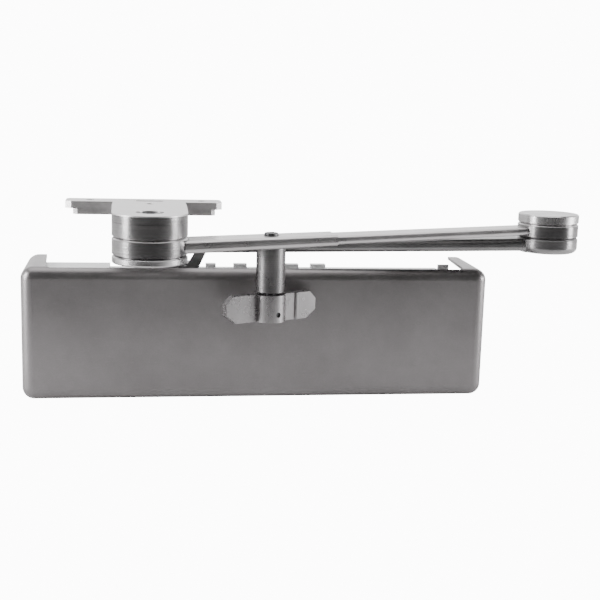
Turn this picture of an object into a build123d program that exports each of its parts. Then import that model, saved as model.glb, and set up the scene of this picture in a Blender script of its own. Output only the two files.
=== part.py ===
from build123d import *
import math
import os

os.makedirs("parts", exist_ok=True)

# Heavy-duty surface door closer with a full metal cover, a parallel double arm,
# a hold-open thumb-turn under the forearm and a soffit plate.
# Row frame, millimetres: origin at the centre of the four door bolts on the back
# face, +X along the closer towards the elbow, -Y out from the door, +Z up.

# ---------------------------------------------------------------- dimensions
cover_l = 314.0            # cover length
cover_h = 90.0             # cover height
cover_zc = 0.25            # height of the cover's middle
cover_d = 58.0             # projection from the door
cover_t = 2.0              # cover wall
cover_r = 8.5              # corners of the cover's outline
cover_re = 7.5             # rounding around the cover's front face
lip = 5.0                  # strip of top wall left in front of the cut-out
ear = 16.5                 # width of the ear left at each end, at its front
back_gap = 0.6             # cover edge to door face

spindle_x, spindle_y = -62.0, -24.0
shoe_x, shoe_y = -73.3, -88.0
elbow_x, elbow_y = 196.2, -58.0

body_l, body_h, body_w = 243.0, 50.0, 44.0      # barrel block
body_x = -0.5                                   # barrel centre in X
flange_x = -4.0                                 # flange centre in X
flange_t = 7.0
flange_l, flange_h = 286.0, 74.0
bolt_dx, bolt_dz, bolt_r = 232.0, 62.0, 3.5     # door bolts
bore_r = 19.0                                   # piston bore
bore_y = spindle_y

module_m = 2.0             # pinion and rack
teeth_n = 11
pitch_r = module_m * teeth_n / 2.0
press_a = math.radians(25.0)
backlash = 0.36

shoe_r = 23.6              # hub, forearm eye and lower disc of the shoe stack
z_disc0, z_disc1 = 53.4, 58.2
z_feye0, z_feye1 = 58.6, 69.5
z_hub0, z_hub1 = 69.9, 84.8
elbow_r = 20.3
z_meye0, z_meye1 = 58.0, 68.2
z_eeye0, z_eeye1 = 68.6, 77.6
z_cap0, z_cap1 = 78.0, 84.2
pin_r = 7.9                # shoe pivot
bush_r = 10.0

post_t = 77.6              # post, distance from the shoe axis along the forearm
post_r = 9.4
z_post0, z_post1 = 33.4, 62.9
z_lever0, z_lever1 = 14.6, 32.2

# ---------------------------------------------------------------- arm lines
main_len = math.hypot(elbow_x - spindle_x, elbow_y - spindle_y)
fore_len = math.hypot(elbow_x - shoe_x, elbow_y - shoe_y)
ux, uy = (elbow_x - spindle_x) / main_len, (elbow_y - spindle_y) / main_len
vx, vy = (elbow_x - shoe_x) / fore_len, (elbow_y - shoe_y) / fore_len
post_x, post_y = shoe_x + post_t * vx, shoe_y + post_t * vy

def main_xz(y=0.0):
    # vertical plane along the main arm, local X outwards from the spindle, local Y up
    return Plane(origin=(spindle_x - uy * y, spindle_y + ux * y, 0), x_dir=(ux, uy, 0), z_dir=(uy, -ux, 0))

def fore_xz(y=0.0):
    return Plane(origin=(shoe_x - vy * y, shoe_y + vx * y, 0), x_dir=(vx, vy, 0), z_dir=(vy, -vx, 0))

def fore_section(t, z):
    # section plane across the forearm, local X to the arm's side, local Y up
    return Plane(origin=(shoe_x + t * vx, shoe_y + t * vy, z), x_dir=(vy, -vx, 0), z_dir=(-vx, -vy, 0))

def fore_z(t):
    # height of the forearm's centre line
    return 64.0 + (t - 10.0) * (73.1 - 64.0) / (fore_len - 20.0)

def save(name, node):
    name.part.label = node
    export_step(name.part, "parts/" + node + ".step")

# ================================================================ body casting
with BuildPart() as body_casting:
    with BuildSketch(Plane.XZ.offset(0)) as s:
        with Locations((flange_x, 0)):
            RectangleRounded(flange_l, flange_h, 6)
    extrude(amount=flange_t)
    with BuildSketch(Plane.YZ.offset(body_x - body_l / 2)) as s:
        with Locations((bore_y, 0)):
            RectangleRounded(body_w, body_h, 7)
    extrude(amount=body_l)
    # boss for the pinion bearings, top and bottom
    with BuildSketch(Plane.XY.offset(-30)) as s:
        with Locations((spindle_x, spindle_y)):
            Circle(21)
    extrude(amount=60)
    # cast lugs on the top edge of the flange
    for x0, x1 in ((-33.5, -26.5), (-13.8, -4.5), (23, 32.5), (41.5, 52)):
        with BuildSketch(Plane.XZ.offset(0)) as s:
            with Locations(((x0 + x1) / 2, 37.9)):
                Rectangle(x1 - x0, 3.8)
        extrude(amount=6)
    # piston bore
    with BuildSketch(Plane.YZ.offset(body_x - body_l / 2 - 1)) as s:
        with Locations((bore_y, 0)):
            Circle(bore_r)
    extrude(amount=body_l + 2, mode=Mode.SUBTRACT)
    # wider threaded mouths for the end plugs
    for x0 in (body_x - body_l / 2 - 1, body_x + body_l / 2 - 13):
        with BuildSketch(Plane.YZ.offset(x0)) as s:
            with Locations((bore_y, 0)):
                Circle(20.5)
        extrude(amount=14, mode=Mode.SUBTRACT)
    # pinion bore
    with BuildSketch(Plane.XY.offset(-31)) as s:
        with Locations((spindle_x, spindle_y)):
            Circle(14.5)
    extrude(amount=62, mode=Mode.SUBTRACT)
    # door bolt holes
    with BuildSketch(Plane.XZ.offset(-1)) as s:
        with GridLocations(bolt_dx, bolt_dz, 2, 2):
            Circle(bolt_r)
    extrude(amount=flange_t + 2, mode=Mode.SUBTRACT)
    # regulating screw ports: two in the right end face, one under the left end
    with BuildSketch(Plane.YZ.offset(body_x + body_l / 2 - 24)) as s:
        with Locations((-42.5, 20), (-42.5, -20)):
            Circle(2.6)
    extrude(amount=26, mode=Mode.SUBTRACT)
    with BuildSketch(Plane.YZ.offset(body_x - body_l / 2 - 1)) as s:
        with Locations((-42.5, -20)):
            Circle(2.6)
    extrude(amount=25, mode=Mode.SUBTRACT)
    # oil filling port in the top
    with BuildSketch(Plane.XY.offset(18)) as s:
        with Locations((-22, bore_y)):
            Circle(4.0)
    extrude(amount=10, mode=Mode.SUBTRACT)
    # tapped holes for the cover brackets in the end faces of the flange
    with BuildSketch(Plane.XZ.offset(-1)) as s:
        with Locations((-139, 0), (132, 0)):
            Circle(1.6)
    extrude(amount=flange_t + 2, mode=Mode.SUBTRACT)
save(body_casting, "body_casting")

bl, br = body_x - body_l / 2, body_x + body_l / 2   # barrel ends

with BuildPart() as end_plug_left:
    with BuildSketch(Plane.YZ.offset(bl)) as s:
        with Locations((bore_y, 0)):
            Circle(20.5)
    extrude(amount=9.0)
    with BuildSketch(Plane.YZ.offset(bl - 3)) as s:
        with Locations((bore_y, 0)):
            RegularPolygon(12, 6)
    extrude(amount=3)
save(end_plug_left, "end_plug_left")

with BuildPart() as end_plug_right:
    with BuildSketch(Plane.YZ.offset(br - 9)) as s:
        with Locations((bore_y, 0)):
            Circle(20.5)
    extrude(amount=9.0)
    with BuildSketch(Plane.YZ.offset(br)) as s:
        with Locations((bore_y, 0)):
            RegularPolygon(12, 6)
    extrude(amount=3)
    with BuildSketch(Plane.YZ.offset(br - 10)) as s:
        with Locations((bore_y, 0)):
            Circle(4.05)
    extrude(amount=14, mode=Mode.SUBTRACT)
save(end_plug_right, "end_plug_right")

with BuildPart() as end_seals:
    for x0 in (bl + 9.3, br - 12.0):
        with BuildSketch(Plane.YZ.offset(x0)) as s:
            with Locations((bore_y, 0)):
                Circle(20.4)
                Circle(17.5, mode=Mode.SUBTRACT)
        extrude(amount=2.4)
save(end_seals, "end_seals")

# ================================================================ pinion
def involute_half(r_base, r_out, n=6):
    pts = []
    t_out = math.sqrt((r_out / r_base) ** 2 - 1)
    for i in range(n + 1):
        t = t_out * i / n
        pts.append((r_base * math.hypot(1, t), t - math.atan(t)))   # radius, roll-off angle
    return pts

r_base = pitch_r * math.cos(press_a)
r_out = pitch_r + 0.8 * module_m
r_root = pitch_r - 1.15 * module_m
half_tooth = (math.pi * module_m / 2 - backlash) / 2 / pitch_r      # half angle at the pitch circle
inv_pitch = math.tan(press_a) - press_a
prof = involute_half(r_base, r_out)

def tooth_points(a0):
    flank = [(r_root, half_tooth + inv_pitch)] + [(r, half_tooth + inv_pitch - v) for r, v in prof]
    left = [(r * math.cos(a0 + a), r * math.sin(a0 + a)) for r, a in flank]
    right = [(r * math.cos(a0 - a), r * math.sin(a0 - a)) for r, a in reversed(flank)]
    return right[::-1] + left[::-1]

gear_pts = []
for k in range(teeth_n):
    # one tooth points at the rack (towards +Y) at rest
    gear_pts += tooth_points(math.pi / 2 + 2 * math.pi * k / teeth_n)

with BuildPart() as pinion_shaft:
    # toothed middle
    with BuildSketch(Plane(origin=(spindle_x, spindle_y, -13))) as s:
        with BuildLine() as ln:
            Polyline(*gear_pts, close=True)
        make_face()
    extrude(amount=26)
    # journals
    with BuildSketch(Plane(origin=(spindle_x, spindle_y, -27))) as s:
        Circle(8.0)
    extrude(amount=60)
    # square for the main arm
    with BuildSketch(Plane(origin=(spindle_x, spindle_y, 33), x_dir=(ux, uy, 0), z_dir=(0, 0, 1))) as s:
        Rectangle(11.0, 11.0)
    extrude(amount=10.4)
    with BuildSketch(Plane(origin=(spindle_x, spindle_y, 28))) as s:
        Circle(3.0)
    extrude(amount=16, mode=Mode.SUBTRACT)
save(pinion_shaft, "pinion_shaft")

with BuildPart() as pinion_bearings:
    for z0 in (19.3, -25.3):
        with BuildSketch(Plane(origin=(spindle_x, spindle_y, z0))) as s:
            Circle(14.5)
            Circle(8.05, mode=Mode.SUBTRACT)
        extrude(amount=6)
save(pinion_bearings, "pinion_bearings")

with BuildPart() as pinion_seal:
    with BuildSketch(Plane(origin=(spindle_x, spindle_y, 25.4))) as s:
        Circle(14.4)
        Circle(8.1, mode=Mode.SUBTRACT)
    extrude(amount=1.6)
save(pinion_seal, "pinion_seal")

with BuildPart() as gland_nut:
    with BuildSketch(Plane(origin=(spindle_x, spindle_y, 27.1))) as s:
        Circle(14.5)
        Circle(8.05, mode=Mode.SUBTRACT)
    extrude(amount=2.9)
    with BuildSketch(Plane(origin=(spindle_x, spindle_y, 30.0))) as s:
        RegularPolygon(13.0, 6)
        Circle(8.05, mode=Mode.SUBTRACT)
    extrude(amount=2.4)
save(gland_nut, "gland_nut")

with BuildPart() as lower_bearing_cap:
    with BuildSketch(Plane(origin=(spindle_x, spindle_y, -33))) as s:
        Circle(17.0)
    extrude(amount=3.0)
    with BuildSketch(Plane(origin=(spindle_x, spindle_y, -30))) as s:
        Circle(14.45)
    extrude(amount=2.4)
save(lower_bearing_cap, "lower_bearing_cap")

# ================================================================ piston, spring
pis_l0, pis_l1 = -107.5, -36.0      # piston ends in X at rest (door closed)
pock_x0, pock_x1 = -96.2, -48.2    # pinion pocket through the piston
pocket_h = 13.6                     # half height of the pocket
rack_y = spindle_y + pitch_r        # pitch line of the rack, on the door side
pitch_p = math.pi * module_m
add_h, ded_h = 0.8 * module_m, 1.15 * module_m
y_tip, y_root = rack_y - add_h, rack_y + ded_h
hg_tip = pitch_p / 4 + add_h * math.tan(press_a)
hg_root = pitch_p / 4 - ded_h * math.tan(press_a)

rack_pts = [(pock_x0, spindle_y - 22.0), (pock_x0, y_tip)]
for k in range(-5, 2):
    c = spindle_x + k * pitch_p     # a gap lies under the pinion's axis at rest
    rack_pts += [(c - hg_tip, y_tip), (c - hg_root, y_root), (c + hg_root, y_root), (c + hg_tip, y_tip)]
rack_pts += [(pock_x1, y_tip), (pock_x1, spindle_y - 22.0)]

with BuildPart() as piston:
    with BuildSketch(Plane.YZ.offset(pis_l0)) as s:
        with Locations((bore_y, 0)):
            Circle(bore_r - 0.03)
    extrude(amount=pis_l1 - pis_l0)
    # pocket that the pinion stands in, with the rack along its door side
    with BuildSketch(Plane.XY.offset(-pocket_h)) as s:
        with BuildLine() as ln:
            Polyline(*rack_pts, close=True)
        make_face()
    extrude(amount=2 * pocket_h, mode=Mode.SUBTRACT)
    # slot that the pinion's journals pass through
    with BuildSketch(Plane.XY.offset(-20)) as s:
        with Locations(((pock_x0 + pock_x1) / 2, spindle_y)):
            SlotOverall(pock_x1 - pock_x0, 17.6)
    extrude(amount=40, mode=Mode.SUBTRACT)
    # check valve passage in the head
    with BuildSketch(Plane.YZ.offset(pis_l0 - 1)) as s:
        with Locations((bore_y, 0)):
            Circle(3.2)
    extrude(amount=14, mode=Mode.SUBTRACT)
    with BuildSketch(Plane.YZ.offset(pis_l0 - 1)) as s:
        with Locations((bore_y, 0)):
            Circle(6.0)
    extrude(amount=6, mode=Mode.SUBTRACT)
    # seat for the spring
    with BuildSketch(Plane.YZ.offset(pis_l1 - 5)) as s:
        with Locations((bore_y, 0)):
            Circle(16.6)
            Circle(10.0, mode=Mode.SUBTRACT)
    extrude(amount=6, mode=Mode.SUBTRACT)
save(piston, "piston")

with BuildPart() as check_ball:
    with Locations((pis_l0 + 8.0, bore_y, 0)):
        Sphere(2.6)
save(check_ball, "check_ball")

with BuildPart() as check_retainer:
    with BuildSketch(Plane.YZ.offset(pis_l0 + 1.0)) as s:
        with Locations((bore_y, 0)):
            Circle(6.0)
            Circle(2.0, mode=Mode.SUBTRACT)
    extrude(amount=3.0)
save(check_retainer, "check_retainer")

spr_x0, spr_x1 = pis_l1 - 4.8, 79.8
turns_n = 13
with BuildPart() as main_spring:
    with BuildLine() as ln:
        Helix(pitch=(spr_x1 - spr_x0 - 4.8) / turns_n, height=spr_x1 - spr_x0 - 4.8, radius=13.6,
              center=(spr_x0 + 2.4, bore_y, 0), direction=(1, 0, 0))
    with BuildSketch(Plane(origin=ln.line @ 0, z_dir=ln.line % 0)) as s:
        Circle(2.3)
    sweep(is_frenet=True)
save(main_spring, "main_spring")

with BuildPart() as spring_seat:
    with BuildSketch(Plane.YZ.offset(80.0)) as s:
        with Locations((bore_y, 0)):
            Circle(18.9)
    extrude(amount=6)
    with BuildSketch(Plane.YZ.offset(79.0)) as s:
        with Locations((bore_y, 0)):
            Circle(4.3)
    extrude(amount=8, mode=Mode.SUBTRACT)
save(spring_seat, "spring_seat")

with BuildPart() as spring_adjuster:
    with BuildSketch(Plane.YZ.offset(60.0)) as s:
        with Locations((bore_y, 0)):
            Circle(4.0)
    extrude(amount=br + 6.0 - 60.0)
    with BuildSketch(Plane.YZ.offset(br - 12.6)) as s:
        with Locations((bore_y, 0)):
            Circle(7.0)
    extrude(amount=3.2)
    with BuildSketch(Plane.YZ.offset(br + 2.5)) as s:
        with Locations((bore_y, 0)):
            RegularPolygon(2.4, 6)
    extrude(amount=5, mode=Mode.SUBTRACT)
save(spring_adjuster, "spring_adjuster")

# ================================================================ regulating screws
def reg_screw(x_in, x_out, y, z):
    # screw along X with a needle nose at x_in and a slotted head at x_out
    sgn = 1 if x_out > x_in else -1
    body = Pos(0, 0, 0) * Cylinder(2.5, abs(x_out - x_in) - 4, align=(Align.CENTER, Align.CENTER, Align.MIN))
    nose = Pos(0, 0, -4) * Cone(0.6, 1.8, 4, align=(Align.CENTER, Align.CENTER, Align.MIN))
    slot = Pos(0, 0, abs(x_out - x_in) - 4) * Box(0.9, 6, 2.4)
    scr = (body + nose) - slot
    return Plane(origin=(x_in + 4 * sgn, y, z), x_dir=(0, 1, 0), z_dir=(sgn, 0, 0)) * scr

sweep_screw = reg_screw(br - 22, br + 2.5, -42.5, 20)
latch_screw = reg_screw(br - 22, br + 2.5, -42.5, -20)
back_screw = reg_screw(bl + 22, bl - 2.5, -42.5, -20)
with BuildPart() as sweep_valve:
    add(sweep_screw)
save(sweep_valve, "sweep_valve")
with BuildPart() as latch_valve:
    add(latch_screw)
save(latch_valve, "latch_valve")
with BuildPart() as backcheck_valve:
    add(back_screw)
save(backcheck_valve, "backcheck_valve")

with BuildPart() as fill_plug:
    with BuildSketch(Plane(origin=(-22, bore_y, 20.2))) as s:
        Circle(3.95)
    extrude(amount=6.3)
    with BuildSketch(Plane(origin=(-22, bore_y, 24))) as s:
        RegularPolygon(1.8, 6)
    extrude(amount=3, mode=Mode.SUBTRACT)
save(fill_plug, "fill_plug")

# ================================================================ cover
hx, hz = cover_l / 2, cover_h / 2
with BuildPart() as cover_hollow:
    with BuildSketch(Plane.XZ.offset(back_gap - 1)) as s:
        with Locations((0, cover_zc)):
            RectangleRounded(cover_l - 2 * cover_t, cover_h - 2 * cover_t, cover_r - cover_t)
    extrude(amount=cover_d - back_gap + 1 - cover_t, taper=0.6)
    fillet(cover_hollow.faces().sort_by(Axis.Y)[0].edges(), cover_re - cover_t)

with BuildPart() as cover:
    with BuildSketch(Plane.XZ.offset(back_gap)) as s:
        with Locations((0, cover_zc)):
            RectangleRounded(cover_l, cover_h, cover_r)
    extrude(amount=cover_d - back_gap, taper=0.6)
    fillet(cover.faces().sort_by(Axis.Y)[0].edges(), cover_re)
    add(cover_hollow.part, mode=Mode.SUBTRACT)
    # cut-outs in the top and bottom walls, between the ears
    for z0 in (cover_zc + hz - 12, cover_zc - hz - 2):
        with BuildSketch(Plane.XY.offset(z0)) as s:
            with BuildLine() as ln:
                yf = -cover_d + lip
                Polyline((-hx + ear + 3, yf), (hx - ear - 3, yf), (hx - ear, yf + 3),
                         (hx - ear + 3.0, 1), (-hx + ear - 3.0, 1), (-hx + ear, yf + 3), close=True)
            make_face()
        extrude(amount=14, mode=Mode.SUBTRACT)
    # screw holes that hold the cover to its brackets, in the end walls
    for sx in (-1, 1):
        with BuildSketch(Plane.YZ.offset(sx * hx - 3)) as s:
            with Locations((-15, 0)):
                Circle(2.1)
        extrude(amount=6, mode=Mode.SUBTRACT)
save(cover, "cover")

# brackets: a foot screwed on the body's flange, a leaf against the cover's end wall
def block(x0, x1, y0, y1, z0, z1):
    return Pos((x0 + x1) / 2, (y0 + y1) / 2, (z0 + z1) / 2) * Box(abs(x1 - x0), abs(y1 - y0), abs(z1 - z0))

def bracket(sx, foot_x, screw_x, tab_x):
    b = block(foot_x, sx * 152.5, -flange_t - 2, -flange_t, -28, 28)
    b += block(sx * 152.4, sx * 154.4, -23, -flange_t, -30, 30)
    b += block(tab_x[0], tab_x[1], -flange_t - 2, -flange_t, 20, 40.6)
    b -= Pos(screw_x, -flange_t, 0) * Rot(90, 0, 0) * Cylinder(1.8, 12)
    b -= Pos(sx * 153, -15, 0) * Rot(0, 90, 0) * Cylinder(1.55, 10)
    return b

left_bracket = bracket(-1, -132, -139, (-150, -132)) + block(-133, -100, -flange_t - 2, -flange_t, 27, 40.6)
left_bracket += block(-150, -100, -44, -flange_t, 39.4, 40.6)
left_bracket -= Pos(-131.5, -38, 40) * Cylinder(2.2, 6)
right_bracket = bracket(1, 124, 132, (134, 142))
with BuildPart() as cover_bracket_left:
    add(left_bracket)
save(cover_bracket_left, "cover_bracket_left")
with BuildPart() as cover_bracket_right:
    add(right_bracket)
save(cover_bracket_right, "cover_bracket_right")

def screw(head_r, head_h, shank_r, length):
    # pan head on +Z with a cross recess, shank down
    h = Cylinder(head_r, head_h, align=(Align.CENTER, Align.CENTER, Align.MIN))
    h = fillet(h.edges().group_by(Axis.Z)[-1], head_h * 0.45)
    k = Pos(0, 0, -length) * Cylinder(shank_r, length + 0.1, align=(Align.CENTER, Align.CENTER, Align.MIN))
    c = Pos(0, 0, head_h) * (Box(head_r * 1.1, head_r * 0.26, head_h * 1.1) + Box(head_r * 0.26, head_r * 1.1, head_h * 1.1))
    return h + k - c

bracket_screw_a = Plane(origin=(-139, -flange_t - 2, 0), z_dir=(0, -1, 0)) * screw(3.4, 2.0, 1.55, 8)
bracket_screw_b = Plane(origin=(132, -flange_t - 2, 0), z_dir=(0, -1, 0)) * screw(3.4, 2.0, 1.55, 8)
with BuildPart() as bracket_screws:
    add([bracket_screw_a, bracket_screw_b])
save(bracket_screws, "bracket_screws")

cover_screw_a = Plane(origin=(-(hx + 0.02), -15, 0), z_dir=(-1, 0, 0)) * screw(3.6, 1.9, 1.5, 5)
cover_screw_b = Plane(origin=(hx + 0.02, -15, 0), z_dir=(1, 0, 0)) * screw(3.6, 1.9, 1.5, 5)
with BuildPart() as cover_screws:
    add([cover_screw_a, cover_screw_b])
save(cover_screws, "cover_screws")

# ================================================================ main arm
main_side = [(6, 34.0), (19.5, 34.0), (27.9, 52.4), (main_len - 12, 59.2),
             (main_len - 12, 67.4), (25.5, 60.8), (15, 43.4), (6, 43.4)]
with BuildPart() as main_arm:
    # bar: side profile across its width, then trimmed to its plan
    with BuildSketch(main_xz(-16)) as s:
        with BuildLine() as ln:
            Polyline(*main_side, close=True)
        make_face()
    extrude(amount=-32)
    with BuildSketch(Plane(origin=(spindle_x, spindle_y, 30), x_dir=(ux, uy, 0), z_dir=(0, 0, 1))) as s:
        with BuildLine() as ln:
            Polyline((0, -13), (36, -13), (main_len, -11.4), (main_len, 11.4), (36, 13), (0, 13), close=True)
        make_face()
    extrude(amount=50, mode=Mode.INTERSECT)
    long_edges = main_arm.edges().filter_by(lambda e: e.length > 150)
    fillet(long_edges, 3.4)
    # hub on the spindle
    with BuildSketch(Plane(origin=(spindle_x, spindle_y, 33.4))) as s:
        Circle(16.4)
    extrude(amount=10.8)
    # eye at the elbow, rounded underneath
    with BuildSketch(Plane(origin=(elbow_x, elbow_y, z_meye0))) as s:
        Circle(elbow_r)
    extrude(amount=z_meye1 - z_meye0)
    eye_edge = main_arm.edges().filter_by(GeomType.CIRCLE).filter_by(lambda e: abs(e.center().Z - z_meye0) < 0.01 and abs(e.radius - elbow_r) < 0.01)
    fillet(eye_edge, 4.0)
    eye_top = main_arm.edges().filter_by(GeomType.CIRCLE).filter_by(lambda e: abs(e.center().Z - z_meye1) < 0.01 and abs(e.radius - elbow_r) < 0.01)
    chamfer(eye_top, 0.8)
    # square hole for the spindle
    with BuildSketch(Plane(origin=(spindle_x, spindle_y, 33), x_dir=(ux, uy, 0), z_dir=(0, 0, 1))) as s:
        Rectangle(11.1, 11.1)
    extrude(amount=20, mode=Mode.SUBTRACT)
    # pin hole at the elbow
    with BuildSketch(Plane(origin=(elbow_x, elbow_y, z_meye0 - 1))) as s:
        Circle(6.0)
    extrude(amount=20, mode=Mode.SUBTRACT)
save(main_arm, "main_arm")

arm_screw_s = Plane(origin=(spindle_x, spindle_y, 46.0), z_dir=(0, 0, 1)) * screw(6.0, 3.6, 2.95, 15)
with BuildPart() as arm_screw:
    add(arm_screw_s)
save(arm_screw, "arm_screw")
with BuildPart() as arm_washer:
    with BuildSketch(Plane(origin=(spindle_x, spindle_y, 44.3))) as s:
        Circle(10.5)
        Circle(3.2, mode=Mode.SUBTRACT)
    extrude(amount=1.7)
save(arm_washer, "arm_washer")

with BuildPart() as elbow_pin:
    # its lower end stands just proud of the main arm's eye
    with BuildSketch(Plane(origin=(elbow_x, elbow_y, z_meye0 - 1.5))) as s:
        Circle(6.0)
    extrude(amount=z_cap1 - 3.0 - z_meye0 + 1.5)
    chamfer(elbow_pin.edges().group_by(Axis.Z)[0], 0.6)
save(elbow_pin, "elbow_pin")
with BuildPart() as elbow_bush:
    with BuildSketch(Plane(origin=(elbow_x, elbow_y, z_eeye0 - 0.2))) as s:
        Circle(8.0)
        Circle(6.05, mode=Mode.SUBTRACT)
    extrude(amount=z_eeye1 - z_eeye0 + 0.4)
save(elbow_bush, "elbow_bush")
with BuildPart() as elbow_cap:
    with BuildSketch(Plane(origin=(elbow_x, elbow_y, z_cap0))) as s:
        Circle(elbow_r)
    extrude(amount=z_cap1 - z_cap0)
    chamfer(elbow_cap.edges().group_by(Axis.Z)[-1], 0.7)
    chamfer(elbow_cap.edges().group_by(Axis.Z)[0], 0.8)
    with BuildSketch(Plane(origin=(elbow_x, elbow_y, z_cap0 - 1))) as s:
        Circle(6.0)
    extrude(amount=z_cap1 - z_cap0 - 2.0, mode=Mode.SUBTRACT)
save(elbow_cap, "elbow_cap")

# ================================================================ forearm
step_t = 119.0             # the forearm is thicker up to here
with BuildPart() as forearm:
    with BuildSketch(fore_section(12, fore_z(12) - 0.35)) as s:
        RectangleRounded(27, 8.1, 3.0)
    with BuildSketch(fore_section(step_t, fore_z(step_t) - 0.25)) as s:
        RectangleRounded(23.5, 7.3, 3.0)
    loft()
    with BuildSketch(fore_section(step_t - 1, fore_z(step_t - 1) - 0.2)) as s:
        RectangleRounded(22.5, 5.8, 2.6)
    with BuildSketch(fore_section(fore_len - 12, fore_z(fore_len - 12))) as s:
        RectangleRounded(19, 5.2, 2.3)
    loft()
    with BuildSketch(Plane(origin=(shoe_x, shoe_y, z_feye0))) as s:
        Circle(shoe_r)
    extrude(amount=z_feye1 - z_feye0)
    with BuildSketch(Plane(origin=(elbow_x, elbow_y, z_eeye0))) as s:
        Circle(elbow_r)
    extrude(amount=z_eeye1 - z_eeye0)
    # bevelled rims of both eyes
    for zc, rc in ((z_feye0, shoe_r), (z_feye1, shoe_r), (z_eeye0, elbow_r), (z_eeye1, elbow_r)):
        rim = forearm.edges().filter_by(GeomType.CIRCLE).filter_by(lambda e: abs(e.center().Z - zc) < 0.01 and abs(e.radius - rc) < 0.01)
        chamfer(rim, 0.85)
    # bores at the two eyes
    with BuildSketch(Plane(origin=(shoe_x, shoe_y, z_feye0 - 1))) as s:
        Circle(bush_r)
    extrude(amount=z_feye1 - z_feye0 + 2, mode=Mode.SUBTRACT)
    with BuildSketch(Plane(origin=(elbow_x, elbow_y, z_eeye0 - 1))) as s:
        Circle(8.0)
    extrude(amount=z_eeye1 - z_eeye0 + 2, mode=Mode.SUBTRACT)
    # seats for the post below and the rod's screw above, and the rod's hole
    with BuildSketch(Plane(origin=(post_x, post_y, z_post1 - 6))) as s:
        Circle(post_r + 0.05)
    extrude(amount=6, mode=Mode.SUBTRACT)
    with BuildSketch(Plane(origin=(post_x, post_y, 69.7))) as s:
        Circle(5.2)
    extrude(amount=4, mode=Mode.SUBTRACT)
    with BuildSketch(Plane(origin=(post_x, post_y, 60))) as s:
        Circle(3.05)
    extrude(amount=12, mode=Mode.SUBTRACT)
    # channel for the latch bar, from the shoe bore to the rod
    with BuildSketch(Plane(origin=(shoe_x, shoe_y, 64.4), x_dir=(vx, vy, 0), z_dir=(0, 0, 1))) as s:
        with Locations(((9 + post_t + 4.6) / 2, 0)):
            Rectangle(post_t + 4.6 - 9, 9.2)
    extrude(amount=3.2, mode=Mode.SUBTRACT)
save(forearm, "forearm")

with BuildPart() as post:
    with BuildSketch(Plane(origin=(post_x, post_y, z_post0))) as s:
        Circle(post_r)
        Circle(3.05, mode=Mode.SUBTRACT)
    extrude(amount=z_post1 - z_post0)
    chamfer(post.edges().group_by(Axis.Z)[0], 0.5)
save(post, "post")

with BuildPart() as cam_rod:
    with BuildSketch(Plane(origin=(post_x, post_y, z_lever0 + 0.8))) as s:
        Circle(3.0)
    extrude(amount=69.4 - z_lever0 - 0.8)
    # eccentric at the level of the latch bar
    with BuildSketch(Plane(origin=(post_x + 1.5 * vx, post_y + 1.5 * vy, 64.7))) as s:
        Circle(3.0)
    extrude(amount=2.6)
    with BuildSketch(Plane(origin=(post_x - 4.5 * vx, post_y - 4.5 * vy, 64.7), x_dir=(vx, vy, 0), z_dir=(0, 0, 1))) as s:
        Rectangle(5.0, 12.0)
    extrude(amount=2.6, mode=Mode.SUBTRACT)
    with BuildSketch(Plane(origin=(post_x, post_y, 62.0))) as s:
        Circle(1.6)
    extrude(amount=8, mode=Mode.SUBTRACT)
save(cam_rod, "cam_rod")

rod_screw_s = Plane(origin=(post_x, post_y, 69.75), z_dir=(0, 0, 1)) * screw(4.6, 2.2, 1.55, 7)
with BuildPart() as rod_screw:
    add(rod_screw_s)
save(rod_screw, "rod_screw")

# latch bar: its nose stands short of the shoe pivot, its tail rests on the eccentric
bar_t0, bar_t1 = 13.0, post_t - 2.3
with BuildPart() as latch_bar:
    with BuildSketch(Plane(origin=(shoe_x, shoe_y, 64.7), x_dir=(vx, vy, 0), z_dir=(0, 0, 1))) as s:
        with Locations(((bar_t0 + bar_t1) / 2, 0)):
            Rectangle(bar_t1 - bar_t0, 8.6)
    extrude(amount=2.6)
save(latch_bar, "latch_bar")

# ================================================================ thumb lever
lever_a = 27.0
lx, ly = math.cos(math.radians(lever_a)), math.sin(math.radians(lever_a))
lever_mid = (z_lever0 + z_lever1) / 2
lever_h = z_lever1 - z_lever0
with BuildPart() as thumb_lever:
    with BuildSketch(Plane(origin=(post_x, post_y, z_lever0))) as s:
        Circle(10.4)
    extrude(amount=lever_h)
    # two flat wings, one each side of the centre plane, with clipped corners
    for sg in (1, -1):
        wing = Plane(origin=(post_x - sg * ly * -2.2, post_y + sg * lx * -2.2, lever_mid),
                     x_dir=(sg * lx, sg * ly, 0), z_dir=(sg * ly, -sg * lx, 0))
        with BuildSketch(wing.offset(-2.6)) as s:
            with BuildLine() as ln:
                h2 = lever_h / 2
                Polyline((0, -h2), (25.6, -h2), (32.9, -h2 + 5.5), (32.9, h2 - 5.0), (28.2, h2), (0, h2), close=True)
            make_face()
        extrude(amount=5.2)
        # half-round rib across the wing, for the thumb
        with BuildSketch(Plane(origin=(post_x + sg * (17.5 * lx + 4.7 * ly), post_y + sg * (17.5 * ly - 4.7 * lx), z_lever0))) as s:
            Circle(1.4)
        extrude(amount=lever_h)
    # bore for the rod and cross hole for the set screw
    with BuildSketch(Plane(origin=(post_x, post_y, z_lever0 + 0.5))) as s:
        Circle(3.02)
    extrude(amount=40, mode=Mode.SUBTRACT)
    with BuildSketch(Plane(origin=(post_x, post_y, z_lever0 + 5.2), x_dir=(0, 0, 1), z_dir=(0.45, -0.893, 0))) as s:
        Circle(1.7)
    extrude(amount=14, mode=Mode.SUBTRACT)
save(thumb_lever, "thumb_lever")

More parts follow.
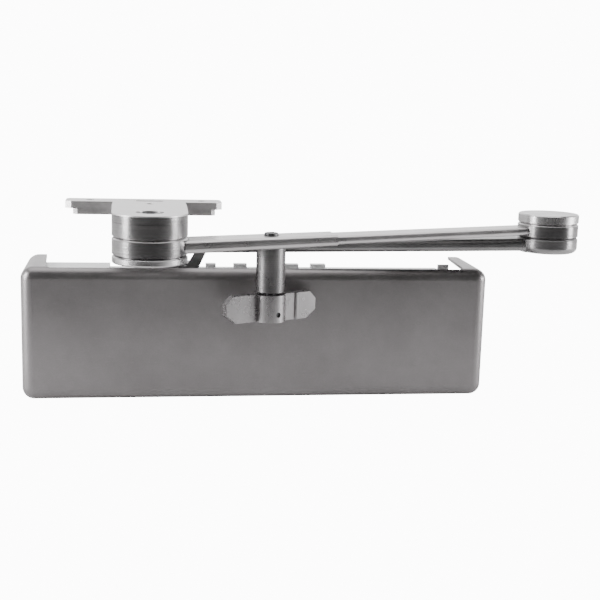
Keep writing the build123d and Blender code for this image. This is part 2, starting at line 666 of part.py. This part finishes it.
set_screw_s = Plane(origin=(post_x + 0.45 * 3.2, post_y - 0.893 * 3.2, z_lever0 + 5.2), x_dir=(0, 0, 1), z_dir=(0.45, -0.893, 0)) * Cylinder(1.65, 5.6, align=(Align.CENTER, Align.CENTER, Align.MIN))
with BuildPart() as set_screw:
    add(set_screw_s)
save(set_screw, "set_screw")

# ================================================================ soffit plate
groove_ring = Pos(shoe_x, shoe_y, z_hub1 - 5.2) * (Cylinder(shoe_r + 2, 0.6) - Cylinder(shoe_r - 0.5, 2) - Pos(0, 15, 0) * Box(60, 30, 4))
with BuildPart() as soffit_plate:
    # hub, bevelled below, with a shallow groove around its front
    with BuildSketch(Plane(origin=(shoe_x, shoe_y, z_hub0))) as s:
        Circle(shoe_r)
    extrude(amount=z_hub1 - z_hub0)
    chamfer(soffit_plate.edges().group_by(Axis.Z)[0], 0.85)
    add(groove_ring, mode=Mode.SUBTRACT)
    # stem running back from the hub
    with BuildSketch(Plane(origin=(shoe_x, shoe_y, z_hub1 - 9.0))) as s:
        with BuildLine() as ln:
            Polyline((-shoe_r, 0), (shoe_r, 0), (24.4, 40), (24.4, 84), (-24.4, 84), (-24.4, 40), close=True)
        make_face()
    extrude(amount=9.0)
    # cross plate, upper tier
    with BuildSketch(Plane(origin=(shoe_x, shoe_y, z_hub1 - 4.8))) as s:
        with BuildLine() as ln:
            Polyline((-52, 63.5), (45.5, 63.5), (49.3, 66.5), (49.3, 83), (47.3, 85.5), (-54, 85.5), (-56, 83), (-56, 66.5), close=True)
        make_face()
    extrude(amount=4.8)
    # cross plate, lower tier
    with BuildSketch(Plane(origin=(shoe_x, shoe_y, z_hub1 - 9.0))) as s:
        with BuildLine() as ln:
            Polyline((-48, 65), (42, 65), (44.8, 68), (44.8, 84), (-51, 84), (-51, 68), close=True)
        make_face()
    extrude(amount=9.0)
    # counterbored pivot hole
    with BuildSketch(Plane(origin=(shoe_x, shoe_y, z_hub0 - 1))) as s:
        Circle(pin_r + 0.05)
    extrude(amount=20, mode=Mode.SUBTRACT)
    with BuildSketch(Plane(origin=(shoe_x, shoe_y, z_hub1 - 5.5))) as s:
        Circle(8.9)
    extrude(amount=8, mode=Mode.SUBTRACT)
    # slot across the stem and fixing holes
    with BuildSketch(Plane(origin=(shoe_x, shoe_y, z_hub1 - 3.0))) as s:
        with Locations((0, 70.5)):
            SlotOverall(20.0, 4.4)
    extrude(amount=8, mode=Mode.SUBTRACT)
    with BuildSketch(Plane(origin=(shoe_x, shoe_y, z_hub1 - 12.0))) as s:
        with Locations((-40, 75), (36, 75)):
            Circle(2.9)
        with Locations((0, 52)):
            Circle(2.9)
    extrude(amount=20, mode=Mode.SUBTRACT)
save(soffit_plate, "soffit_plate")

with BuildPart() as shoe_pivot_bolt:
    # head sunk in the hub, shank through the forearm, riveted into the lower disc
    with BuildSketch(Plane(origin=(shoe_x, shoe_y, z_hub1 - 5.4))) as s:
        Circle(8.6)
    extrude(amount=4.4)
    with BuildSketch(Plane(origin=(shoe_x, shoe_y, z_hub1 - 3.4))) as s:
        RegularPolygon(4.6, 6)
    extrude(amount=5, mode=Mode.SUBTRACT)
    with BuildSketch(Plane(origin=(shoe_x, shoe_y, z_disc0 + 0.6))) as s:
        Circle(pin_r)
    extrude(amount=z_hub1 - 5.4 - z_disc0 - 0.6)
save(shoe_pivot_bolt, "shoe_pivot_bolt")

with BuildPart() as shoe_bush:
    with BuildSketch(Plane(origin=(shoe_x, shoe_y, z_feye0 - 0.2))) as s:
        Circle(bush_r)
        Circle(pin_r + 0.05, mode=Mode.SUBTRACT)
    extrude(amount=z_feye1 - z_feye0 + 0.4)
save(shoe_bush, "shoe_bush")

with BuildPart() as lower_disc:
    with BuildSketch(Plane(origin=(shoe_x, shoe_y, z_disc0))) as s:
        Circle(shoe_r)
    extrude(amount=z_disc1 - z_disc0)
    fillet(lower_disc.edges().group_by(Axis.Z)[0], 1.2)
    chamfer(lower_disc.edges().group_by(Axis.Z)[-1], 0.85)
    with BuildSketch(Plane(origin=(shoe_x, shoe_y, z_disc0 + 0.6))) as s:
        Circle(pin_r)
    extrude(amount=8, mode=Mode.SUBTRACT)
save(lower_disc, "lower_disc")
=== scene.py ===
import bpy
import math
import mathutils
from mathutils import Vector, Matrix


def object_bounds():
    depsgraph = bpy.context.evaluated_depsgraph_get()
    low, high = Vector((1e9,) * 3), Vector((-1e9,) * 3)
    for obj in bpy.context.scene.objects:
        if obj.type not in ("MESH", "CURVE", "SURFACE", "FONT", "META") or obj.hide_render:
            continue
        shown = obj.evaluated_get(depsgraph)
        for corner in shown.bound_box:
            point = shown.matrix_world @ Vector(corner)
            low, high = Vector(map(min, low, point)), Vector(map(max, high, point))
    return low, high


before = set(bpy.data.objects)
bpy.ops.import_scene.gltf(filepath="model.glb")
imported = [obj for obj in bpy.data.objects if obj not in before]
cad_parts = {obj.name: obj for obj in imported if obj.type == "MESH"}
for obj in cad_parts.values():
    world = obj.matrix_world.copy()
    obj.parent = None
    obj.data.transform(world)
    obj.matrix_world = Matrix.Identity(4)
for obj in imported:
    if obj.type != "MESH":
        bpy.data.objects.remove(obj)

cad_box = [[float(v) for v in c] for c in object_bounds()]

# ---------------------------------------------------------------- node helpers
def new_mat(name):
    m = bpy.data.materials.new(name)
    m.use_nodes = True
    nt = m.node_tree
    nt.nodes.clear()
    out = nt.nodes.new("ShaderNodeOutputMaterial")
    bsdf = nt.nodes.new("ShaderNodeBsdfPrincipled")
    nt.links.new(bsdf.outputs[0], out.inputs[0])
    return m, nt, bsdf

def coords(nt, scale=(1, 1, 1), centre=None):
    tc = nt.nodes.new("ShaderNodeTexCoord")
    mp = nt.nodes.new("ShaderNodeMapping")
    mp.vector_type = 'POINT'
    mp.inputs["Scale"].default_value = scale
    nt.links.new(tc.outputs["Object"], mp.inputs["Vector"])
    return mp.outputs[0]

def noise(nt, vec, scale, detail=4.0, rough=0.55, dist=0.0):
    n = nt.nodes.new("ShaderNodeTexNoise")
    n.inputs["Scale"].default_value = scale
    n.inputs["Detail"].default_value = detail
    n.inputs["Roughness"].default_value = rough
    n.inputs["Distortion"].default_value = dist
    nt.links.new(vec, n.inputs["Vector"])
    return n.outputs["Fac"]

def math_node(nt, op, a, b=None, clamp=False):
    n = nt.nodes.new("ShaderNodeMath")
    n.operation = op
    n.use_clamp = clamp
    for i, v in enumerate((a, b)):
        if v is None:
            continue
        if isinstance(v, (int, float)):
            n.inputs[i].default_value = v
        else:
            nt.links.new(v, n.inputs[i])
    return n.outputs[0]

def ramp(nt, fac, stops):
    r = nt.nodes.new("ShaderNodeValToRGB")
    els = r.color_ramp.elements
    while len(els) < len(stops):
        els.new(0.5)
    for e, (p, c) in zip(els, stops):
        e.position = p
        e.color = (c[0], c[1], c[2], 1.0) if isinstance(c, (tuple, list)) else (c, c, c, 1.0)
    nt.links.new(fac, r.inputs["Fac"])
    return r.outputs["Color"]

def mix(nt, fac, a, b, mode='MIX'):
    n = nt.nodes.new("ShaderNodeMix")
    n.data_type = 'RGBA'
    n.blend_type = mode
    if isinstance(fac, (int, float)):
        n.inputs[0].default_value = fac
    else:
        nt.links.new(fac, n.inputs[0])
    for idx, v in ((6, a), (7, b)):
        if isinstance(v, (tuple, list)):
            n.inputs[idx].default_value = (v[0], v[1], v[2], 1.0)
        else:
            nt.links.new(v, n.inputs[idx])
    return n.outputs[2]

def maprange(nt, v, a, b, c, d):
    n = nt.nodes.new("ShaderNodeMapRange")
    nt.links.new(v, n.inputs["Value"])
    for k, x in zip(("From Min", "From Max", "To Min", "To Max"), (a, b, c, d)):
        n.inputs[k].default_value = x
    return n.outputs[0]

def bump(nt, h, strength, dist, prev=None):
    n = nt.nodes.new("ShaderNodeBump")
    n.inputs["Strength"].default_value = strength
    n.inputs["Distance"].default_value = dist
    nt.links.new(h, n.inputs["Height"])
    if prev is not None:
        nt.links.new(prev, n.inputs["Normal"])
    return n.outputs[0]

def edge_mask(nt, lo=0.56, hi=0.72):
    g = nt.nodes.new("ShaderNodeNewGeometry")
    return maprange(nt, g.outputs["Pointiness"], lo, hi, 0.0, 1.0)

# ---------------------------------------------------------------- materials
def machined(nt, spots, base, dark, light):
    """Bare turned faces on a painted piece: fine rings about each vertical axis (cx, cy), inside radius r between z0 and z1."""
    tc = nt.nodes.new("ShaderNodeTexCoord")
    sep = nt.nodes.new("ShaderNodeSeparateXYZ")
    nt.links.new(tc.outputs["Object"], sep.inputs[0])
    total = None
    for cx, cy, r, z0, z1 in spots:
        dx = math_node(nt, 'SUBTRACT', sep.outputs[0], cx)
        dy = math_node(nt, 'SUBTRACT', sep.outputs[1], cy)
        rr = math_node(nt, 'SQRT', math_node(nt, 'ADD', math_node(nt, 'MULTIPLY', dx, dx), math_node(nt, 'MULTIPLY', dy, dy)))
        m = math_node(nt, 'MULTIPLY', math_node(nt, 'LESS_THAN', rr, r),
                      math_node(nt, 'MULTIPLY', math_node(nt, 'GREATER_THAN', sep.outputs[2], z0), math_node(nt, 'LESS_THAN', sep.outputs[2], z1)))
        total = m if total is None else math_node(nt, 'MAXIMUM', total, m)
    rings = noise(nt, coords(nt, (60, 60, 3600)), 1.0, 3.0, 0.6)
    tone = ramp(nt, rings, ((0.30, dark), (0.72, light)))
    return mix(nt, total, base, tone), total, rings

def silver_paint(name, dark, light, rough=(0.34, 0.46), metallic=0.72, peel=0.25, cast=0.0, wear=0.35, turned=None,
                 t_dark=(0.14, 0.136, 0.137), t_light=(0.25, 0.243, 0.245)):
    """Sprayed aluminium-flake paint: fine sparkle, orange peel, faint cloudiness and rubbed edges."""
    m, nt, b = new_mat(name)
    vec = coords(nt)
    cloud = noise(nt, vec, 22.0, 3.0, 0.5)
    mid = noise(nt, vec, 160.0, 3.0, 0.55)
    fleck = noise(nt, vec, 5200.0, 2.0, 0.6)
    f = math_node(nt, 'ADD', math_node(nt, 'MULTIPLY', cloud, 0.45), math_node(nt, 'MULTIPLY', fleck, 0.55))
    base = ramp(nt, f, ((0.36, dark), (0.64, light)))
    scuff = noise(nt, coords(nt, (14, 14, 160)), 9.0, 5.0, 0.62, 0.3)
    scuff_m = maprange(nt, scuff, 0.60, 0.78, 0.0, 0.5)
    base = mix(nt, scuff_m, base, tuple(min(1.0, c * 1.10) for c in light))
    if wear:
        em = math_node(nt, 'MULTIPLY', edge_mask(nt), math_node(nt, 'MULTIPLY', mid, 2 * wear))
        base = mix(nt, em, base, (0.70, 0.69, 0.68))
    t_mask = None
    if turned:
        base, t_mask, t_rings = machined(nt, turned, base, t_dark, t_light)
    nt.links.new(base, b.inputs["Base Color"])
    b.inputs["Metallic"].default_value = metallic
    r = maprange(nt, math_node(nt, 'ADD', math_node(nt, 'MULTIPLY', mid, 0.6), math_node(nt, 'MULTIPLY', cloud, 0.4)), 0.35, 0.65, rough[0], rough[1])
    if t_mask is not None:
        r = math_node(nt, 'MULTIPLY', r, maprange(nt, t_mask, 0.0, 1.0, 1.0, 0.62))
    nt.links.new(r, b.inputs["Roughness"])
    b.inputs["Coat Weight"].default_value = 0.12
    b.inputs["Coat Roughness"].default_value = 0.28
    n1 = bump(nt, mid, peel * 0.5, 0.00012)
    n2 = bump(nt, fleck, peel * 0.35, 0.00003, n1)
    if cast:
        c1 = noise(nt, vec, 420.0, 4.0, 0.6)
        n2 = bump(nt, c1, cast, 0.00018, n2)
    if t_mask is not None:
        n2 = bump(nt, math_node(nt, 'MULTIPLY', t_rings, t_mask), 0.3, 0.00004, n2)
    nt.links.new(n2, b.inputs["Normal"])
    return m

def turned_steel(name, cx, cy, dark=(0.42, 0.42, 0.43), light=(0.66, 0.65, 0.65), rough=(0.22, 0.36), groove=0.35):
    """Lathe-turned metal: fine rings about a vertical axis on the sides and on the end faces."""
    m, nt, b = new_mat(name)
    tc = nt.nodes.new("ShaderNodeTexCoord")
    sep = nt.nodes.new("ShaderNodeSeparateXYZ")
    nt.links.new(tc.outputs["Object"], sep.inputs[0])
    dx = math_node(nt, 'SUBTRACT', sep.outputs[0], cx)
    dy = math_node(nt, 'SUBTRACT', sep.outputs[1], cy)
    rr = math_node(nt, 'SQRT', math_node(nt, 'ADD', math_node(nt, 'MULTIPLY', dx, dx), math_node(nt, 'MULTIPLY', dy, dy)))
    comb = nt.nodes.new("ShaderNodeCombineXYZ")
    nt.links.new(rr, comb.inputs[0])
    nt.links.new(sep.outputs[2], comb.inputs[1])
    ang = math_node(nt, 'ARCTAN2', dy, dx)
    nt.links.new(math_node(nt, 'MULTIPLY', ang, 0.00003), comb.inputs[2])
    rings = noise(nt, comb.outputs[0], 3600.0, 2.0, 0.55)
    broad = noise(nt, comb.outputs[0], 700.0, 2.0, 0.5)
    cloud = noise(nt, coords(nt), 60.0, 3.0, 0.5)
    f = math_node(nt, 'ADD', math_node(nt, 'MULTIPLY', rings, 0.6), math_node(nt, 'MULTIPLY', cloud, 0.4))
    base = ramp(nt, f, ((0.30, dark), (0.74, light)))
    nt.links.new(base, b.inputs["Base Color"])
    b.inputs["Metallic"].default_value = 0.92
    nt.links.new(maprange(nt, cloud, 0.35, 0.65, rough[0], rough[1]), b.inputs["Roughness"])
    n1 = bump(nt, rings, groove, 0.00004)
    n2 = bump(nt, broad, groove * 0.5, 0.00006, n1)
    nt.links.new(n2, b.inputs["Normal"])
    return m

def plain_metal(name, dark, light, rough, metallic=0.9, grain=700.0, bumps=0.2, stretch=(1, 1, 1), spots=None, dist=0.00005):
    """Machined or plated metal with directional grain, tarnish and rubbed edges."""
    m, nt, b = new_mat(name)
    g = noise(nt, coords(nt, stretch), grain, 4.0, 0.6)
    cl = noise(nt, coords(nt), 45.0, 4.0, 0.6)
    base = ramp(nt, math_node(nt, 'ADD', math_node(nt, 'MULTIPLY', g, 0.5), math_node(nt, 'MULTIPLY', cl, 0.5)), ((0.38, dark), (0.62, light)))
    if spots:
        sp = maprange(nt, noise(nt, coords(nt), 260.0, 5.0, 0.7), 0.60, 0.74, 0.0, 0.7)
        base = mix(nt, sp, base, spots)
    base = mix(nt, math_node(nt, 'MULTIPLY', edge_mask(nt), 0.5), base, tuple(min(1, c * 1.35) for c in light))
    nt.links.new(base, b.inputs["Base Color"])
    b.inputs["Metallic"].default_value = metallic
    nt.links.new(maprange(nt, cl, 0.35, 0.65, rough[0], rough[1]), b.inputs["Roughness"])
    nt.links.new(bump(nt, g, bumps, dist), b.inputs["Normal"])
    return m

def rubber(name):
    m, nt, b = new_mat(name)
    g = noise(nt, coords(nt), 900.0, 3.0, 0.6)
    cl = noise(nt, coords(nt), 80.0, 3.0, 0.6)
    nt.links.new(ramp(nt, cl, ((0.35, (0.018, 0.018, 0.019)), (0.7, (0.045, 0.044, 0.043)))), b.inputs["Base Color"])
    nt.links.new(maprange(nt, g, 0.3, 0.7, 0.55, 0.75), b.inputs["Roughness"])
    nt.links.new(bump(nt, g, 0.25, 0.00006), b.inputs["Normal"])
    return m

S = Vector((-0.0620, -0.0240, 0))
F = Vector((-0.0733, -0.0880, 0))
E = Vector((0.1962, -0.0580, 0))
u = (E - F).normalized()
P = F + u * 0.0776

# turned bands of the eyes and the hub, below their top bevels
EYES = [(F.x, F.y, 0.0243, 0.0580, 0.0687), (E.x, E.y, 0.0210, 0.0572, 0.0674), (E.x, E.y, 0.0210, 0.0684, 0.0768)]
HUB = [(F.x, F.y, 0.0243, 0.0690, 0.0840)]
COVER = silver_paint("cover_silver_paint", (0.160, 0.151, 0.153), (0.215, 0.204, 0.207), rough=(0.33, 0.42), metallic=0.85, wear=0.15)
ARM = silver_paint("arm_silver_paint", (0.36, 0.348, 0.350), (0.47, 0.455, 0.458), rough=(0.26, 0.36), metallic=0.88, cast=0.10, turned=EYES, wear=0.2)
# main arm: a darker copy of the forearm's silver paint, painted shade where it lies under the forearm
MAIN_ARM_SHADED = silver_paint("main_arm_shaded_silver_paint", (0.13, 0.127, 0.128), (0.21, 0.206, 0.207), rough=(0.30, 0.42), metallic=0.8, cast=0.12, turned=EYES, wear=0.15)
PLATE = silver_paint("plate_silver_paint", (0.42, 0.409, 0.412), (0.53, 0.517, 0.520), rough=(0.30, 0.42), metallic=0.82, cast=0.16, wear=0.2, turned=HUB)
LEVER = silver_paint("lever_silver_paint", (0.21, 0.202, 0.205), (0.29, 0.279, 0.283), rough=(0.24, 0.34), metallic=0.88, wear=0, peel=0.10)
# body casting material: the bright lug colour is a painted highlight for light on the lug tops; the darkened body below
# is painted shade
LUGS_PAINTED_LIGHT = plain_metal("cast_body_painted_lit_lugs", (0.60, 0.60, 0.60), (0.76, 0.76, 0.76), (0.42, 0.58), metallic=0.1, grain=420.0, bumps=0.5, dist=0.00015)
CAST = plain_metal("cast_body", (0.10, 0.10, 0.105), (0.20, 0.20, 0.205), (0.45, 0.62), metallic=0.35, grain=380.0, bumps=0.6, dist=0.0002)
BRACKET = plain_metal("bracket_plate", (0.58, 0.58, 0.585), (0.74, 0.74, 0.745), (0.34, 0.50), metallic=0.25, grain=900.0, spots=(0.52, 0.51, 0.48))
ZINC = plain_metal("zinc_plate", (0.42, 0.44, 0.46), (0.62, 0.63, 0.64), (0.24, 0.40), grain=900.0, spots=(0.46, 0.45, 0.38))
DARK = plain_metal("black_steel", (0.055, 0.055, 0.058), (0.12, 0.12, 0.122), (0.30, 0.46), grain=1100.0, metallic=0.85)
BRONZE = plain_metal("bronze", (0.34, 0.22, 0.10), (0.56, 0.38, 0.18), (0.30, 0.45), grain=1500.0)
SPRING = plain_metal("spring_wire", (0.07, 0.07, 0.08), (0.16, 0.16, 0.17), (0.22, 0.35), grain=1300.0)
RUBBER = rubber("seal_rubber")
T_SHOE = turned_steel("turned_shoe", F.x, F.y, (0.30, 0.295, 0.297), (0.46, 0.452, 0.454))
T_ELBOW = turned_steel("turned_elbow", E.x, E.y, (0.34, 0.333, 0.335), (0.52, 0.51, 0.512))
T_POST = turned_steel("turned_post", P.x, P.y, (0.13, 0.127, 0.128), (0.22, 0.215, 0.217), groove=0.15)
T_SPINDLE = turned_steel("turned_spindle", S.x, S.y, (0.25, 0.25, 0.26), (0.45, 0.45, 0.46))

# painted light and shade: the casting below the lug tops (z < 0.0368) is multiplied dark, so the bright lug tops stand
# in for light falling on their top faces
lug_nt = LUGS_PAINTED_LIGHT.node_tree
lug_b = [n for n in lug_nt.nodes if n.type == 'BSDF_PRINCIPLED'][0]
lug_tc = lug_nt.nodes.new("ShaderNodeTexCoord")
lug_s = lug_nt.nodes.new("ShaderNodeSeparateXYZ")
lug_nt.links.new(lug_tc.outputs["Object"], lug_s.inputs[0])
lug_src = lug_b.inputs["Base Color"].links[0].from_socket
lug_nt.links.new(mix(lug_nt, math_node(lug_nt, 'LESS_THAN', lug_s.outputs[2], 0.0368), lug_src, (0.36, 0.36, 0.365), 'MULTIPLY'), lug_b.inputs["Base Color"])

assign = {
    "cover": COVER, "cover_bracket_left": BRACKET, "cover_bracket_right": BRACKET, "bracket_screws": ZINC, "cover_screws": ZINC,
    "body_casting": LUGS_PAINTED_LIGHT, "end_plug_left": DARK, "end_plug_right": DARK, "end_seals": RUBBER, "pinion_bearings": BRONZE,
    "pinion_seal": RUBBER, "gland_nut": ZINC, "lower_bearing_cap": DARK, "fill_plug": DARK,
    "pinion_shaft": T_SPINDLE, "piston": DARK, "check_ball": ZINC, "check_retainer": BRONZE, "main_spring": SPRING,
    "spring_seat": DARK, "spring_adjuster": ZINC, "sweep_valve": ZINC, "latch_valve": ZINC, "backcheck_valve": ZINC,
    "main_arm": MAIN_ARM_SHADED, "arm_screw": DARK, "arm_washer": ZINC, "elbow_pin": T_ELBOW, "elbow_bush": BRONZE, "elbow_cap": T_ELBOW,
    "forearm": ARM, "post": T_POST, "cam_rod": DARK, "rod_screw": DARK, "latch_bar": DARK, "thumb_lever": LEVER, "set_screw": DARK,
    "soffit_plate": PLATE, "shoe_pivot_bolt": DARK, "shoe_bush": BRONZE, "lower_disc": T_SHOE,
}
for name, mat in assign.items():
    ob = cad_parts[name]
    if len(ob.material_slots) == 0:
        ob.data.materials.append(mat)
    for sl in ob.material_slots:
        sl.material = mat

# ---------------------------------------------------------------- floor, light, camera
low = cad_box[0][2]
bpy.ops.mesh.primitive_plane_add(size=14.0, location=(0, 3.0, low - 0.0006))
floor = bpy.context.object
WHITE = 12.0                # backdrop brightness as the camera sees it
floor.name = "studio_floor"
fm, fnt, fb = new_mat("studio_floor_paint")
fn = noise(fnt, coords(fnt), 3.0, 2.0, 0.5)
fsep = fnt.nodes.new("ShaderNodeSeparateXYZ")
ftc = fnt.nodes.new("ShaderNodeTexCoord")
fnt.links.new(ftc.outputs["Object"], fsep.inputs[0])
# white paper under the object, darkening towards the camera (the plane's own middle is at y = 3 m)
fade = maprange(fnt, fsep.outputs[1], -3.50, -3.16, 0.0, 1.0)
fnt.links.new(mix(fnt, fade, (0.05, 0.05, 0.05), ramp(fnt, fn, ((0.3, (0.88, 0.88, 0.88)), (0.7, (0.90, 0.90, 0.90))))), fb.inputs["Base Color"])
fb.inputs["Roughness"].default_value = 0.9
fb.inputs["Specular IOR Level"].default_value = 0.1
lp = fnt.nodes.new("ShaderNodeLightPath")
em = fnt.nodes.new("ShaderNodeEmission")
em.inputs[0].default_value = (1.0, 1.0, 1.0, 1.0)
em.inputs[1].default_value = WHITE
mx = fnt.nodes.new("ShaderNodeMixShader")
fo = [n for n in fnt.nodes if n.type == 'OUTPUT_MATERIAL'][0]
fnt.links.new(lp.outputs["Is Camera Ray"], mx.inputs[0])
fnt.links.new(fb.outputs[0], mx.inputs[1])
fnt.links.new(em.outputs[0], mx.inputs[2])
# clear from below, so the underside can be looked at
fg = fnt.nodes.new("ShaderNodeNewGeometry")
ft = fnt.nodes.new("ShaderNodeBsdfTransparent")
m2 = fnt.nodes.new("ShaderNodeMixShader")
fnt.links.new(fg.outputs["Backfacing"], m2.inputs[0])
fnt.links.new(mx.outputs[0], m2.inputs[1])
fnt.links.new(ft.outputs[0], m2.inputs[2])
fnt.links.new(m2.outputs[0], fo.inputs[0])
floor.data.materials.append(fm)

world = bpy.data.worlds.new("studio")
bpy.context.scene.world = world
world.use_nodes = True
wn = world.node_tree
wn.nodes.clear()
wo = wn.nodes.new("ShaderNodeOutputWorld")
bg = wn.nodes.new("ShaderNodeBackground")
# studio walls: dark behind the camera, lighter at the sides and above
wt = wn.nodes.new("ShaderNodeTexCoord")
ws = wn.nodes.new("ShaderNodeSeparateXYZ")
wn.links.new(wt.outputs["Generated"], ws.inputs[0])
side = maprange(wn, math_node(wn, 'ABSOLUTE', ws.outputs[0]), 0.70, 0.98, 0.0, 0.9)
back = maprange(wn, ws.outputs[1], 0.10, 0.80, 0.0, 2.3)
env = math_node(wn, 'ADD', math_node(wn, 'ADD', side, back), 0.05)
wl = wn.nodes.new("ShaderNodeLightPath")
is_cam = wl.outputs["Is Camera Ray"]
level = math_node(wn, 'ADD', math_node(wn, 'MULTIPLY', env, math_node(wn, 'SUBTRACT', 1.0, is_cam)), math_node(wn, 'MULTIPLY', is_cam, WHITE))
bg.inputs[0].default_value = (1.0, 1.0, 1.0, 1.0)
wn.links.new(level, bg.inputs[1])
wn.links.new(bg.outputs[0], wo.inputs[0])

def area(name, loc, target, size, size_y, power, color=(1, 1, 1)):
    l = bpy.data.lights.new(name, 'AREA')
    l.shape = 'RECTANGLE'
    l.size = size
    l.size_y = size_y
    l.energy = power
    l.color = color
    o = bpy.data.objects.new(name, l)
    bpy.context.scene.collection.objects.link(o)
    o.location = loc
    d = Vector(target) - Vector(loc)
    o.rotation_euler = d.to_track_quat('-Z', 'Y').to_euler()
    return o

area("key_top", (0.0, 0.06, 1.15), (0.0, -0.08, 0.0), 1.4, 0.9, 12.0)
area("left_strip", (-1.05, -0.30, 0.30), (-0.1, -0.03, 0.0), 0.34, 0.9, 26.0)
area("right_strip", (1.15, -0.30, 0.30), (0.1, -0.03, 0.0), 0.34, 0.9, 23.0)

yaw, pitch, roll = (math.radians(a) for a in (8.34, 10.66, 1.61))
d = Vector((math.sin(yaw) * math.cos(pitch), math.cos(yaw) * math.cos(pitch), -math.sin(pitch)))
r = Vector((math.cos(yaw), -math.sin(yaw), 0.0))
dn = d.cross(r)
r2 = math.cos(roll) * r - math.sin(roll) * dn
dn2 = math.sin(roll) * r + math.cos(roll) * dn
cam_data = bpy.data.cameras.new("photo_camera")
cam = bpy.data.objects.new("photo_camera", cam_data)
bpy.context.scene.collection.objects.link(cam)
cam_data.sensor_width = 36.0
cam_data.lens = 1101.0 / 600.0 * 36.0
cam_data.clip_start = 0.01
cam_data.clip_end = 50.0
rot = Matrix((r2, -dn2, -d)).transposed().to_4x4()
cam.matrix_world = Matrix.Translation((-0.0785, -0.775, 0.16025)) @ rot
bpy.context.scene.camera = cam
